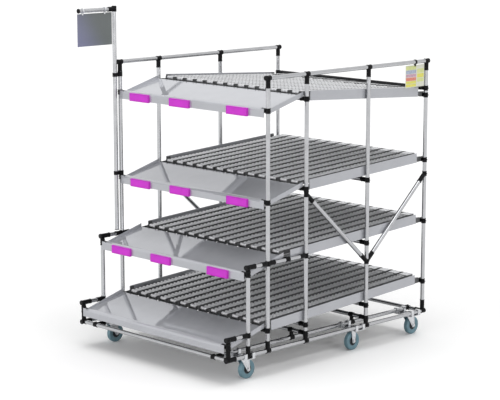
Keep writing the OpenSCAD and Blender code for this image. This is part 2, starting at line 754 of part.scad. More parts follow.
module block_places() for (x = [-1, 1] * inner_inset / 2) for (y = [-1, 1] * block_y)
    translate([x, y, 0]) children();

module caster_plate(swivel) difference() {
    union() {
        translate([-plate_x / 2, -plate_len / 2, plate_under]) cube([plate_x, plate_len, plate_t]);
        if (swivel) translate([0, 0, plate_under - race_h]) cylinder(r = race_r, h = race_h + eps);
    }
    if (swivel) cylinder(r = pin_d / 2 + seat, h = 2 * plate_top);
    block_places() cylinder(r = bolt_d / 2 + 0.1, h = 2 * plate_top, $fn = 24);
}

module caster_plates() color(zinc) {
    for (m = swivels) at_caster(m[0], m[1]) caster_plate(true);
    for (m = fixed) at_caster(m[0], m[1]) caster_plate(false);
}

module pipe_clamps() color(zinc) for (m = mounts) at_caster(m[0], m[1]) block_places() difference() {
    translate([-sleeve_r, -block_len / 2, plate_top])
        cube([2 * sleeve_r, block_len, base_h - plate_top + sleeve_r]);
    translate([0, -block_len, base_h]) aim(Y) cylinder(r = bore_r, h = 2 * block_len);
    cylinder(r = bolt_d / 2 + 0.1, h = base_h, $fn = 24);
}

module plate_bolt() {
    translate([0, 0, plate_under - bolt_head_h]) cylinder(d = 1.6 * bolt_d, h = bolt_head_h, $fn = 6);
    translate([0, 0, plate_under - eps]) cylinder(d = bolt_d, h = plate_t + sleeve_wall - bolt_gap, $fn = 24);
}

module king_pin() {
    nut_top = crown_top - crown_t - swivel_gap;
    translate([0, 0, nut_top - nut_h]) cylinder(r = pin_head_r, h = nut_h);
    translate([0, 0, nut_top - eps]) cylinder(d = pin_d, h = plate_top - nut_top + 2 * eps);
    translate([0, 0, plate_top]) cylinder(r = pin_head_r, h = nut_h);
}

module caster_bolts() color(zinc) {
    for (m = mounts) at_caster(m[0], m[1]) block_places() plate_bolt();
    for (m = swivels) at_caster(m[0], m[1]) king_pin();
}

// Fork: a crown plate and two tapering legs down to the axle
module fork(top, back, bore) {
    fork_set = 6;
    front_edge = race_r - fork_set;
    tip = axle_d / 2 + 8;
    rear_edge = max(front_edge, back + tip / 2);
    difference() {
        union() {
            translate([-leg_x - fork_t, -front_edge, top - crown_t])
                cube([2 * (leg_x + fork_t), front_edge + rear_edge, crown_t]);
            for (x = [-1, 1] * (leg_x + fork_t / 2)) translate([x, 0, 0]) across(fork_t) {
                translate([back, wheel_d / 2]) circle(r = tip);
                polygon([
                    [-front_edge, top], [rear_edge, top],
                    [back + tip * 0.98, wheel_d / 2 + tip * 0.2], [back - tip * 0.9, wheel_d / 2 - tip * 0.4]
                ]);
            }
        }
        if (bore) cylinder(r = pin_d / 2 + run_fit, h = 2 * plate_top);
        translate([-wheel_d, back, wheel_d / 2]) aim(X) cylinder(r = axle_d / 2 + seat, h = 2 * wheel_d);
    }
}

module axle(back) translate([0, back, wheel_d / 2]) {
    outside = leg_x + fork_t + seat;
    translate([-outside, 0, 0]) aim(X) cylinder(d = axle_d, h = 2 * outside);
    translate([-outside - nut_h + eps, 0, 0]) aim(X) cylinder(r = head_r, h = nut_h, $fn = 6);
    translate([outside - eps, 0, 0]) aim(X) cylinder(r = head_r, h = nut_h);
}

// Wheel: hub, web and rim with the tyre bonded on
module wheel(back) {
    rim_r = wheel_d / 2 - tyre_depth;
    half = wheel_w / 2;
    hub_wall = 10;
    hub_r = axle_d / 2 + hub_wall;
    web_half = half * 0.45;
    rim_t = 6;
    rim_step = 1;
    weld = 1;
    translate([0, back, wheel_d / 2]) aim(X) rotate_extrude() {
        translate([axle_d / 2 + run_fit, -hub_half]) square([hub_r - axle_d / 2 - run_fit, 2 * hub_half]);
        translate([hub_r - weld, -web_half]) square([rim_r - hub_r + weld, 2 * web_half]);
        translate([rim_r - rim_t, -half + rim_step]) square([rim_t + weld, 2 * (half - rim_step)]);
        translate([rim_r, -half]) square([tyre_depth - tyre_edge, 2 * half]);
        translate([rim_r, -half + tyre_edge]) square([tyre_depth, 2 * (half - tyre_edge)]);
        for (y = [-1, 1] * (half - tyre_edge))
            translate([rim_r + tyre_depth - tyre_edge, y]) circle(r = tyre_edge);
    }
}

module fixed_forks() color(zinc) for (m = fixed) at_caster(m[0], m[1]) fork(plate_under, 0, false);

module fixed_axles() color(zinc) for (m = fixed) at_caster(m[0], m[1]) axle(0);

module swivel_fork(i) color(zinc) at_caster(swivels[i][0], swivels[i][1]) fork(crown_top, trail, true);

module swivel_axle(i) color(zinc) at_caster(swivels[i][0], swivels[i][1]) axle(trail);

module swivel_wheel(i) color(teal) at_caster(swivels[i][0], swivels[i][1]) wheel(trail);

module fixed_wheel(i) color(teal) at_caster(fixed[i][0], fixed[i][1]) wheel(0);

posts();
top_rails();
stub_pipes();
base_side_pipes();
base_cross_pipes();
level_cross_pipes();
brace_tubes();
base_joints();
top_joints();
level_joints();
brace_joints();
sign_joints();
joint_screws();
pipe_caps();
tray(1);  // level_1_tray
tray(2);  // level_2_tray
tray(3);  // level_3_tray
tray(4);  // level_4_tray
side_rails(1);  // level_1_side_rails
side_rails(2);  // level_2_side_rails
side_rails(3);  // level_3_side_rails
side_rails(4);  // level_4_side_rails
tracks(1);  // level_1_tracks
tracks(2);  // level_2_tracks
tracks(3);  // level_3_tracks
tracks(4);  // level_4_tracks
rollers(1);  // level_1_rollers
rollers(2);  // level_2_rollers
rollers(3);  // level_3_rollers
rollers(4);  // level_4_rollers
track_ends();
track_clips();
track_bearers();
rail_brackets();
label_holders();
sign_post();
sign_arm();
sign_clips();
sign_sheet();
card_clip();
info_card();
caster_plates();
pipe_clamps();
caster_bolts();
fixed_forks();
fixed_axles();
swivel_fork(0);  // front_left_fork
swivel_fork(1);  // front_right_fork
swivel_fork(2);  // rear_left_fork
swivel_fork(3);  // rear_right_fork
swivel_axle(0);  // front_left_axle
swivel_axle(1);  // front_right_axle
swivel_axle(2);  // rear_left_axle
swivel_axle(3);  // rear_right_axle
swivel_wheel(0);  // front_left_wheel
swivel_wheel(1);  // front_right_wheel
fixed_wheel(0);  // middle_left_wheel
fixed_wheel(1);  // middle_right_wheel
swivel_wheel(2);  // rear_left_wheel
swivel_wheel(3);  // rear_right_wheel
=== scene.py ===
"""Flow rack: looks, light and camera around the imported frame."""
import json
import math

import bpy
from mathutils import Matrix, Vector


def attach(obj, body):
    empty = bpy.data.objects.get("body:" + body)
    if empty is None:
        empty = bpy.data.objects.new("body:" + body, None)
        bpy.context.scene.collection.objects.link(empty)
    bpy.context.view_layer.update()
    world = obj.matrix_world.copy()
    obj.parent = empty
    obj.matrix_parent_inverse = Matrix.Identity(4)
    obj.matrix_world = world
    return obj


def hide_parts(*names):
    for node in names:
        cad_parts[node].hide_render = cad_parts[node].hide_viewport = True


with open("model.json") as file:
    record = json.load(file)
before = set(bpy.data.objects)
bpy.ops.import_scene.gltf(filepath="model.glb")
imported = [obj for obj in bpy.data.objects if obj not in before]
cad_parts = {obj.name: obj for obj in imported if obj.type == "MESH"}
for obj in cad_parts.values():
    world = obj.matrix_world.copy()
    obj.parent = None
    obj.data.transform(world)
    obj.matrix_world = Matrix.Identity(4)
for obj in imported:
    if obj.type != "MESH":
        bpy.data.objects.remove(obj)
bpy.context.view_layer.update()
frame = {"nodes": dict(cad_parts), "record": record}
NODES = frame["nodes"]
MM = 0.001
AX, AY, AZ = Vector((1, 0, 0)), Vector((0, 1, 0)), Vector((0, 0, 1))
SIDES = (1, -1)
LEVELS = (1, 2, 3, 4)
RETURN_LEVEL = 1
LABELLED = (1, 2, 3)

# Sizes of the rack in millimetres, as in the CAD source
PIPE_R = 14.0
SLEEVE_R = 17.0
ARM_R = 16.6
HALF_W = 709.5
INNER_INSET = 129.5
INNER_X = HALF_W - INNER_INSET
MOUNT_X = HALF_W - INNER_INSET / 2
BASE_H = 169.0
TOP = 1750.0
Y_MID = 940.0
TRAY_BAY = 350.0
D_SHORT, D_HALF, D_FIRST, D_SECOND, D_THIRD, D_REAR = 0.0, 175.0, 350.0, 700.0, 1290.0, 1880.0
LINE_H = {1: 1590.0, 2: 1007.0, 3: 579.0, 4: 151.0}
DECK_FRONT = {1: D_SECOND, 2: D_SECOND, 3: D_HALF + TRAY_BAY, 4: D_FIRST}
ANGLE = {1: -3.55, 2: 3.0, 3: 3.0, 4: 3.0}
TRAY_RISE = 46.0
SEAT = 0.05


def line_z(level, d):
    return LINE_H[level] + math.tan(math.radians(ANGLE[level])) * (d - D_SECOND)


def deck_z(level):
    return line_z(level, DECK_FRONT[level])


def tray_z(level):
    return deck_z(level) - TRAY_RISE


def tray_d(level):
    return DECK_FRONT[level] - TRAY_BAY


def deck_length(level):
    return (D_REAR - DECK_FRONT[level]) / math.cos(math.radians(ANGLE[level]))


def place(x, d, h):
    """A point of the rack: x, distance from the shortest post, height above the base pipe."""
    return Vector((x, d - Y_MID, BASE_H + h))


def aim(direction):
    """Rotation that turns Z to a direction."""
    return Vector(direction).to_track_quat("Z", "Y").to_matrix().to_4x4()


def deck_matrix(level):
    """Frame of a level: origin on its front pipe, Y along its slope."""
    origin = place(0, DECK_FRONT[level], deck_z(level))
    return Matrix.Translation(origin) @ Matrix.Rotation(math.radians(ANGLE[level]), 4, "X")


def mirrored(half):
    """A whole (radius, height) profile from the half that runs from its middle up."""
    return [(radius, -height) for radius, height in reversed(half) if height] + half


class Shape:
    """Collects closed shells, in millimetres, into one mesh object."""

    def __init__(self):
        self.verts = []
        self.faces = []
        self.slots = []

    def _add(self, points, faces, matrix, slot):
        start = len(self.verts)
        self.verts += [tuple((matrix @ Vector(p)) * MM) for p in points]
        self.faces += [[start + i for i in f] for f in faces]
        self.slots += [slot] * len(faces)

    def lathe(self, profile, matrix, steps=24, slot=0, closed=False):
        """Turns (radius, height) points around Z: a closed profile to a ring, an open one with end caps."""
        points = []
        for radius, height in profile:
            for k in range(steps):
                a = 2 * math.pi * k / steps
                points.append((radius * math.cos(a), radius * math.sin(a), height))
        faces = []
        rings = len(profile)
        last = rings if closed else rings - 1
        for i in range(last):
            j = (i + 1) % rings
            for k in range(steps):
                m = (k + 1) % steps
                faces.append((i * steps + k, i * steps + m, j * steps + m, j * steps + k))
        if not closed:
            faces.append(tuple(range(steps - 1, -1, -1)))
            faces.append(tuple((rings - 1) * steps + k for k in range(steps)))
        self._add(points, faces, matrix, slot)

    def prism(self, outline, low, high, matrix, slot=0):
        """Extrudes an outline in XY, counter-clockwise, along Z."""
        n = len(outline)
        points = [(x, y, low) for x, y in outline] + [(x, y, high) for x, y in outline]
        faces = [tuple(range(n - 1, -1, -1)), tuple(range(n, 2 * n))]
        faces += [(i, (i + 1) % n, n + (i + 1) % n, n + i) for i in range(n)]
        self._add(points, faces, matrix, slot)

    def box(self, low, high, matrix, slot=0, edge=0.0):
        """A block with its upright edges cut by edge."""
        (x0, y0, z0), (x1, y1, z1) = low, high
        if edge:
            outline = [
                (x0 + edge, y0), (x1 - edge, y0), (x1, y0 + edge), (x1, y1 - edge),
                (x1 - edge, y1), (x0 + edge, y1), (x0, y1 - edge), (x0, y0 + edge),
            ]
        else:
            outline = [(x0, y0), (x1, y0), (x1, y1), (x0, y1)]
        self.prism(outline, z0, z1, matrix, slot)

    def make(self, name, materials, body, replaces=(), bevel=0.0, angle=35.0):
        """Builds the object, smooth up to an angle in degrees, and tells the frame what it is."""
        mesh = bpy.data.meshes.new(name)
        mesh.from_pydata(self.verts, [], self.faces)
        for m in materials:
            mesh.materials.append(m)
        mesh.polygons.foreach_set("material_index", self.slots)
        mesh.polygons.foreach_set("use_smooth", [True] * len(mesh.polygons))
        mesh.set_sharp_from_angle(angle=math.radians(angle))
        mesh.update()
        obj = bpy.data.objects.new(name, mesh)
        bpy.context.scene.collection.objects.link(obj)
        if bevel:
            add_bevel(obj, bevel)
        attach(obj, body)
        if replaces:
            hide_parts(*replaces)


WELD_DISTANCE = 0.02
SHARP_EDGE = math.radians(40)


def add_bevel(obj, width, weld=False):
    """Small rounded edges that catch the light, their width in millimetres."""
    if weld:
        joined = obj.modifiers.new("weld", "WELD")
        joined.merge_threshold = WELD_DISTANCE * MM
    rounded = obj.modifiers.new("edges", "BEVEL")
    rounded.width = width * MM
    rounded.segments = 2
    rounded.limit_method = "ANGLE"
    rounded.angle_limit = SHARP_EDGE
    rounded.harden_normals = False


# Materials
CLOUD_LOW, CLOUD_HIGH = 0.3, 0.7
CLOUD_DETAIL = 6.0
GRAIN_DETAIL = 3.0
GRAIN_DEPTH = 0.0004
COAT_ROUGH = 0.08
LEAST_ROUGH = 0.02


def material(name, color, metallic=0.0, rough=0.4, vary=0.08, scale=30.0, rough_vary=0.08,
             bump=0.0, bump_scale=900.0, coat=0.0, specular=0.5):
    """Principled surface with cloudy colour, uneven gloss and fine relief."""
    mat = bpy.data.materials.new(name)
    mat.use_nodes = True
    nt = mat.node_tree
    bsdf = nt.nodes["Principled BSDF"]
    bsdf.inputs["Metallic"].default_value = metallic
    bsdf.inputs["Coat Weight"].default_value = coat
    bsdf.inputs["Coat Roughness"].default_value = COAT_ROUGH
    bsdf.inputs["Specular IOR Level"].default_value = specular
    coord = nt.nodes.new("ShaderNodeTexCoord")
    cloud = nt.nodes.new("ShaderNodeTexNoise")
    cloud.inputs["Scale"].default_value = scale
    cloud.inputs["Detail"].default_value = CLOUD_DETAIL
    nt.links.new(coord.outputs["Object"], cloud.inputs["Vector"])
    ramp = nt.nodes.new("ShaderNodeValToRGB")
    ramp.color_ramp.elements[0].position = CLOUD_LOW
    ramp.color_ramp.elements[1].position = CLOUD_HIGH
    ramp.color_ramp.elements[0].color = [c * (1 - vary) for c in color] + [1]
    ramp.color_ramp.elements[1].color = [min(1.0, c * (1 + vary)) for c in color] + [1]
    nt.links.new(cloud.outputs["Fac"], ramp.inputs["Fac"])
    nt.links.new(ramp.outputs["Color"], bsdf.inputs["Base Color"])
    gloss = nt.nodes.new("ShaderNodeMapRange")
    gloss.inputs["From Min"].default_value = CLOUD_LOW
    gloss.inputs["From Max"].default_value = CLOUD_HIGH
    gloss.inputs["To Min"].default_value = max(LEAST_ROUGH, rough - rough_vary)
    gloss.inputs["To Max"].default_value = rough + rough_vary
    nt.links.new(cloud.outputs["Fac"], gloss.inputs["Value"])
    nt.links.new(gloss.outputs["Result"], bsdf.inputs["Roughness"])
    if bump:
        grain = nt.nodes.new("ShaderNodeTexNoise")
        grain.inputs["Scale"].default_value = bump_scale
        grain.inputs["Detail"].default_value = GRAIN_DETAIL
        nt.links.new(coord.outputs["Object"], grain.inputs["Vector"])
        relief = nt.nodes.new("ShaderNodeBump")
        relief.inputs["Strength"].default_value = bump
        relief.inputs["Distance"].default_value = GRAIN_DEPTH
        nt.links.new(grain.outputs["Fac"], relief.inputs["Height"])
        nt.links.new(relief.outputs["Normal"], bsdf.inputs["Normal"])
    return mat


def tone_change(mat, color, start, end):
    """Blends a second colour into the first along a line through the object, from start to end."""
    nt = mat.node_tree
    bsdf = nt.nodes["Principled BSDF"]
    first = bsdf.inputs["Base Color"].links[0].from_socket
    coord = nt.nodes.new("ShaderNodeTexCoord")
    offset = nt.nodes.new("ShaderNodeVectorMath")
    offset.operation = "SUBTRACT"
    offset.inputs[1].default_value = start
    along = nt.nodes.new("ShaderNodeVectorMath")
    along.operation = "DOT_PRODUCT"
    line = Vector(end) - Vector(start)
    along.inputs[1].default_value = line / line.length_squared
    blend = nt.nodes.new("ShaderNodeMapRange")
    blend.interpolation_type = "SMOOTHSTEP"
    mix = nt.nodes.new("ShaderNodeMix")
    mix.data_type = "RGBA"
    mix.inputs["B"].default_value = (*color, 1)
    nt.links.new(coord.outputs["Object"], offset.inputs[0])
    nt.links.new(offset.outputs["Vector"], along.inputs[0])
    nt.links.new(along.outputs["Value"], blend.inputs["Value"])
    nt.links.new(blend.outputs["Result"], mix.inputs["Factor"])
    nt.links.new(first, mix.inputs["A"])
    nt.links.new(mix.outputs["Result"], bsdf.inputs["Base Color"])


PIPE = material("bright_pipe", (0.46, 0.465, 0.48), metallic=1.0, rough=0.18, vary=0.05, scale=14,
                rough_vary=0.05)
JOINT = material("black_joint", (0.004, 0.004, 0.005), rough=0.34, vary=0.3, scale=60, bump=0.25,
                 bump_scale=1500, specular=0.12)
BLACK = material("black_plastic", (0.006, 0.006, 0.007), rough=0.4, vary=0.3, scale=70, bump=0.2,
                 specular=0.15)
SCREW = material("black_screw", (0.02, 0.02, 0.022), metallic=0.3, rough=0.35, vary=0.2, scale=120,
                 specular=0.2)
SHEET = material("grey_sheet", (0.53, 0.54, 0.575), metallic=0.25, rough=0.03, vary=0.03, scale=7,
                 rough_vary=0.03)
# Painted shade: the track channels are darkened well below their zinc to stand for the shade in the narrow
# gaps between tracks
TRACK = material("track_painted_shade", (0.14, 0.142, 0.146), metallic=0.2, rough=0.45, vary=0.2, scale=40,
                 specular=0.25)
PLATE = material("zinc_plate", (0.66, 0.67, 0.69), metallic=0.4, rough=0.3, vary=0.06, scale=60)
ROLLER = material("roller_grey", (0.62, 0.625, 0.64), metallic=0.3, rough=0.34, vary=0.06, scale=55,
                  bump=0.1)
LABEL = material("magenta_plastic", (0.66, 0.04, 0.64), rough=0.38, vary=0.06, scale=25, bump=0.12,
                 specular=0.3)
SIGN = material("grey_sign", (0.15, 0.17, 0.17), rough=0.2, vary=0.08, scale=3.0, coat=0.3)
ZINC = material("zinc_plating", (0.62, 0.63, 0.65), metallic=1.0, rough=0.26, vary=0.1, scale=70)
TYRE = material("blue_rubber", (0.17, 0.30, 0.36), rough=0.42, vary=0.12, scale=45, bump=0.2)
HUB = material("hub_grey", (0.02, 0.025, 0.03), rough=0.4, vary=0.15, scale=60, bump=0.15)
LABEL_CARD = material("magenta_insert", (0.77, 0.05, 0.77), rough=0.42, vary=0.05, scale=20,
                      specular=0.3)
CARD_TONES = [
    material("card_base", (0.93, 0.94, 0.80), rough=0.5, vary=0.03, scale=30),
    material("card_lime", (0.86, 0.92, 0.42), rough=0.5, vary=0.06, scale=60),
    material("card_slate", (0.52, 0.58, 0.72), rough=0.5, vary=0.25, scale=90),
    material("card_plum", (0.72, 0.46, 0.58), rough=0.5, vary=0.2, scale=90),
    material("card_red", (0.92, 0.32, 0.24), rough=0.5, vary=0.12, scale=70),
    material("card_yellow", (0.95, 0.90, 0.20), rough=0.5, vary=0.06, scale=60),
]
BASE_TONE, LIME, SLATE, PLUM, RED, YELLOW = range(len(CARD_TONES))

# The sign turns violet from its middle to its lower front corner: a painted reflection, blended into the
# glossy sheet's own grey
SIGN_REFLECTION_FROM = (-0.71, -0.74, 2.17)
SIGN_REFLECTION_TO = (-0.71, -0.96, 2.04)
tone_change(SIGN, (0.24, 0.25, 0.40), SIGN_REFLECTION_FROM, SIGN_REFLECTION_TO)

BY_SLOT = {
    "pipe": PIPE, "joint": JOINT, "black_plastic": BLACK, "sheet": SHEET, "track": TRACK, "roller": ROLLER,
    "label": LABEL, "sign": SIGN, "card": CARD_TONES[BASE_TONE], "wheel": TYRE, "zinc": ZINC,
}
BY_NODE = {"joint_screws": SCREW, "track_ends": PLATE}
for part in frame["record"]["subparts"]:
    obj = NODES[part["node"]]
    obj.data.materials.clear()
    obj.data.materials.append(BY_NODE.get(part["node"], BY_SLOT[part["material_slot"]]))


# Roller wheels, one by one on their axles
TRACKS = 13
TRACK_PITCH = 100.0
TRACK_XS = [TRACK_PITCH * (i - TRACKS // 2) for i in range(TRACKS)]
TRACK_Z = PIPE_R + SEAT
TRACK_WALL = 1.5
TRACK_END_T = 3.0
STOP_GAP = 5.0
TRACK_START = -2.0
TRACK_STOP = PIPE_R + TRACK_END_T + STOP_GAP
SHOE_LEN = 60.0
ROLLER_D = 22.0
ROLLER_PITCH = 33.5
ROLLER_GAP = 8.0
ROLLER_Z = TRACK_Z + TRACK_WALL + ROLLER_GAP + ROLLER_D / 2
ROLLER_PROFILE = mirrored([
    (10.2, 0.0), (11.0, 1.4), (11.0, 26.6), (9.6, 29.2), (6.5, 30.0), (2.8, 29.4), (2.8, 35.3),
])
for level in LEVELS:
    span = deck_length(level) - TRACK_START - TRACK_STOP - SHOE_LEN - ROLLER_D
    count = int(span // ROLLER_PITCH)
    first = TRACK_START + (span - count * ROLLER_PITCH) / 2 + ROLLER_D / 2
    rollers = Shape()
    base = deck_matrix(level)
    for x in TRACK_XS:
        for i in range(count + 1):
            spot = Matrix.Translation((x, first + i * ROLLER_PITCH, ROLLER_Z))
            rollers.lathe(ROLLER_PROFILE, base @ spot @ aim(AX), steps=12)
    rollers.make(f"level_{level}_roller_wheels", [ROLLER], "frame",
                 replaces=[f"level_{level}_rollers"])

# Stop blocks between the return level's tracks
BLOCK_HALF_W = 12.4
BLOCK_FROM, BLOCK_TO = 190.0, 32.0
BLOCK_LOW, BLOCK_HIGH = 6.0, 33.0
BLOCK_EDGE = 3.0
blocks = Shape()
rear = deck_length(RETURN_LEVEL) - TRACK_STOP
for x in TRACK_XS[:-1]:
    spot = deck_matrix(RETURN_LEVEL) @ Matrix.Translation((x + TRACK_PITCH / 2, 0, TRACK_Z))
    blocks.box((-BLOCK_HALF_W, rear - BLOCK_FROM, BLOCK_LOW), (BLOCK_HALF_W, rear - BLOCK_TO, BLOCK_HIGH),
               spot, edge=BLOCK_EDGE)
blocks.make("return_blocks", [BLACK], "frame", bevel=1.0)


# Black joints: beaded sleeves around the run and along each arm, with a boss under the screw
BORE_R = 14.15
BEAD = 4.0
BEAD_SLOPE = 1.5
RIM = 0.8
WAIST_R = SLEEVE_R - 1.3
ARM_WAIST_R = WAIST_R - 0.5
ARM_ROOT = PIPE_R - 2.0
BOSS_LOW = PIPE_R + 1.0
BOSS_R, BOSS_HOLE_R, BOSS_RIM = 7.6, 5.4, 0.7
COLLAR = 17.0
HALF_RUN = 19.0
ARM_LEN = 52.0
SIDE_ARM = 60.0
CORNER_ARM = 26.0
FRONT_POST_ARM = 65.0
POST_ARM = 34.5
REAR_POST_ARM = 80.0
FRONT_TEE_ARM = 75.0
REAR_TEE_ARM = 36.0
TOP_ARM = 64.0
BRACE_ARM = 78.0
ARM_GAP = 0.5
CROSS_RISE = 52.0
CLAMP_HALF = 9.8
CLAMP_LOW = 13.0
CLAMP_EDGE = 2.0
STOP_BAR_H = line_z(RETURN_LEVEL, D_REAR) + 47.0
RAIL_LOW = -13.45
MID_GAP = 11.0
MID_Z = RAIL_LOW - ARM_R - MID_GAP


def mid_height(level, d):
    """Height of a pipe that carries a level between its ends."""
    return line_z(level, d) + MID_Z / math.cos(math.radians(ANGLE[level]))


# A joint: place, direction of its run, where the run begins and ends, its arms, direction of its screw
def collar(d, h, *arms):
    return (place(HALF_W, d, h), AZ, -COLLAR, COLLAR, arms, AX)


def side_run(d, h, low, high, *arms):
    return (place(HALF_W, d, h), AY, low, high, arms, AX)


def short_run(d, h, *arms):
    return side_run(d, h, -HALF_RUN, HALF_RUN, *arms)


def cross_run(d, arm):
    return (place(INNER_X, d, 0), AX, -COLLAR, COLLAR, (arm,), AZ)


INWARD = (-AX, ARM_LEN)
STUB_LEG = (-AZ, TRAY_RISE - COLLAR - ARM_GAP)
BASE_JOINTS = [
    side_run(D_SHORT, 0, -HALF_RUN, SIDE_ARM, (AZ, tray_z(4) - COLLAR - ARM_GAP), (-AX, CORNER_ARM)),
    short_run(D_HALF, 0, (AZ, FRONT_POST_ARM)),
    short_run(D_FIRST, 0, (AZ, FRONT_POST_ARM)),
    short_run(D_SECOND, 0, (AZ, POST_ARM)),
    short_run(D_THIRD, 0, (AZ, POST_ARM)),
    collar(D_SECOND, CROSS_RISE, INWARD),
    collar(D_THIRD, CROSS_RISE, INWARD),
    short_run(D_REAR, 0, (AZ, REAR_POST_ARM), (-AX, SIDE_ARM)),
    cross_run(D_SHORT, (AY, FRONT_TEE_ARM)),
    cross_run(D_REAR, (-AY, REAR_TEE_ARM)),
]
for d in (D_SECOND, D_THIRD):
    BASE_JOINTS.append((place(INNER_X, d, 0), AY, -HALF_RUN, HALF_RUN, (), -AZ))
    BASE_JOINTS.append((place(INNER_X, d, CROSS_RISE), AX, -HALF_RUN, HALF_RUN, (), AZ))
TOP_JOINTS = [short_run(d, TOP, (-AZ, TOP_ARM)) for d in (D_FIRST, D_SECOND, D_THIRD, D_REAR)]
LEVEL_JOINTS = [collar(tray_d(n), tray_z(n), INWARD) for n in LEVELS]
LEVEL_JOINTS += [collar(DECK_FRONT[n], deck_z(n), INWARD) for n in (1, 2, 4)]
LEVEL_JOINTS += [
    short_run(DECK_FRONT[3], deck_z(3), INWARD),
    collar(D_THIRD, mid_height(2, D_THIRD), INWARD),
    collar(D_THIRD, mid_height(3, D_THIRD), INWARD),
    collar(D_SECOND, mid_height(4, D_SECOND), INWARD),
    collar(D_THIRD, mid_height(4, D_THIRD), INWARD),
    collar(D_REAR, STOP_BAR_H, INWARD),
    side_run(D_HALF, deck_z(3), -HALF_RUN, SIDE_ARM, STUB_LEG),
    collar(D_FIRST, deck_z(3), (AY, SIDE_ARM), (-AY, SIDE_ARM)),
    collar(D_SECOND, deck_z(3), (-AY, SIDE_ARM)),
    side_run(D_SHORT, deck_z(4), -HALF_RUN, SIDE_ARM, STUB_LEG),
    collar(D_HALF, deck_z(4), (-AY, SIDE_ARM)),
]
LEVEL_JOINTS += [collar(D_REAR, line_z(n, D_REAR), INWARD) for n in LEVELS]
BRACE_GAP = 1.0
BRACE_DROP = 126.0
BRACE_LAP = 0.9
BRACE_TOP = line_z(2, D_SECOND) - 2 * COLLAR - BRACE_GAP
BRACE_FOOT = mid_height(3, D_THIRD) - BRACE_DROP
UP_FRONT = Vector((0, D_SECOND - D_THIRD, BRACE_TOP - BRACE_FOOT)).normalized()
UP_BACK = Vector((0, D_REAR - D_THIRD, BRACE_TOP - BRACE_FOOT)).normalized()
BRACE_JOINTS = [
    collar(D_THIRD, BRACE_FOOT, (UP_FRONT, BRACE_ARM), (UP_BACK, BRACE_ARM)),
    (place(HALF_W, D_SECOND, BRACE_TOP), AZ, -COLLAR, COLLAR + BRACE_LAP, ((-UP_FRONT, BRACE_ARM),), AX),
    collar(D_REAR, BRACE_TOP, (-UP_BACK, BRACE_ARM)),
]


def add_joint(shape, joint, side):
    """Adds a joint of the right side, or its mirror image on the left."""
    origin, run, low, high, arms, screw = joint
    flip = Matrix.Diagonal((side, 1, 1, 1))
    spot = Matrix.Translation(flip @ origin)
    shape.lathe([
        (BORE_R, low), (SLEEVE_R - RIM, low), (SLEEVE_R, low + RIM), (SLEEVE_R, low + BEAD),
        (WAIST_R, low + BEAD + BEAD_SLOPE), (WAIST_R, high - BEAD - BEAD_SLOPE), (SLEEVE_R, high - BEAD),
        (SLEEVE_R, high - RIM), (SLEEVE_R - RIM, high), (BORE_R, high),
    ], spot @ aim(flip @ run), steps=28, closed=True)
    for direction, length in arms:
        shape.lathe([
            (BORE_R, BOSS_LOW), (ARM_WAIST_R, ARM_ROOT), (ARM_WAIST_R, length - BEAD - BEAD_SLOPE),
            (ARM_R, length - BEAD), (ARM_R, length - RIM), (ARM_R - RIM, length), (BORE_R, length),
        ], spot @ aim(flip @ direction), steps=28, closed=True)
    shape.lathe([
        (BOSS_HOLE_R, BOSS_LOW), (BOSS_R, BOSS_LOW), (BOSS_R, SLEEVE_R - BOSS_RIM),
        (BOSS_R - BOSS_RIM, SLEEVE_R), (BOSS_HOLE_R, SLEEVE_R),
    ], spot @ aim(flip @ screw), steps=16, closed=True)


for name, joints in (("base_joints", BASE_JOINTS), ("top_joints", TOP_JOINTS),
                     ("level_joints", LEVEL_JOINTS), ("brace_joints", BRACE_JOINTS)):
    cast = Shape()
    for joint in joints:
        for side in SIDES:
            add_joint(cast, joint, side)
    if name == "base_joints":
        for d in (D_SECOND, D_THIRD):
            for side in SIDES:
                cast.box((-CLAMP_HALF, -CLAMP_HALF, CLAMP_LOW),
                         (CLAMP_HALF, CLAMP_HALF, CROSS_RISE - CLAMP_LOW),
                         Matrix.Translation(place(side * INNER_X, d, 0)), edge=CLAMP_EDGE)
    cast.make(f"{name}_cast", [JOINT], "frame", replaces=[name])


# Black sleeve on the return level's stop bar: painted shade, standing for the dark reflection of the shaded
# rack along most of the bar
BAR_SHADE_HALF_L = 656.0
BAR_SHADE_R = 15.8
BAR_SHADE_PROFILE = mirrored([
    (BAR_SHADE_R, BAR_SHADE_HALF_L - 1.0), (BAR_SHADE_R - 0.6, BAR_SHADE_HALF_L), (PIPE_R, BAR_SHADE_HALF_L),
])
bar_shade = Shape()
bar_shade.lathe(BAR_SHADE_PROFILE, Matrix.Translation(place(0, D_REAR, STOP_BAR_H)) @ aim(AX), steps=32, closed=True)
bar_shade.make("stop_bar_painted_shade", [BLACK], "frame")


# Label inserts in the holders
LABEL_XS = (-478.0, -83.0, 460.0)
LABEL_DROP = 19.0
LABEL_REACH = SLEEVE_R + 20.0
INSERT_HALF_W, INSERT_HALF_H = 88.6, 21.6
INSERT_FRONT, INSERT_BACK = 1.4, 3.0
inserts = Shape()
for n in LABELLED:
    for x in LABEL_XS:
        spot = Matrix.Translation(place(x, tray_d(n) - LABEL_REACH, tray_z(n) - LABEL_DROP))
        inserts.box((-INSERT_HALF_W, INSERT_FRONT, -INSERT_HALF_H),
                    (INSERT_HALF_W, INSERT_BACK, INSERT_HALF_H), spot)
inserts.make("label_inserts", [LABEL_CARD], "frame", bevel=0.4)


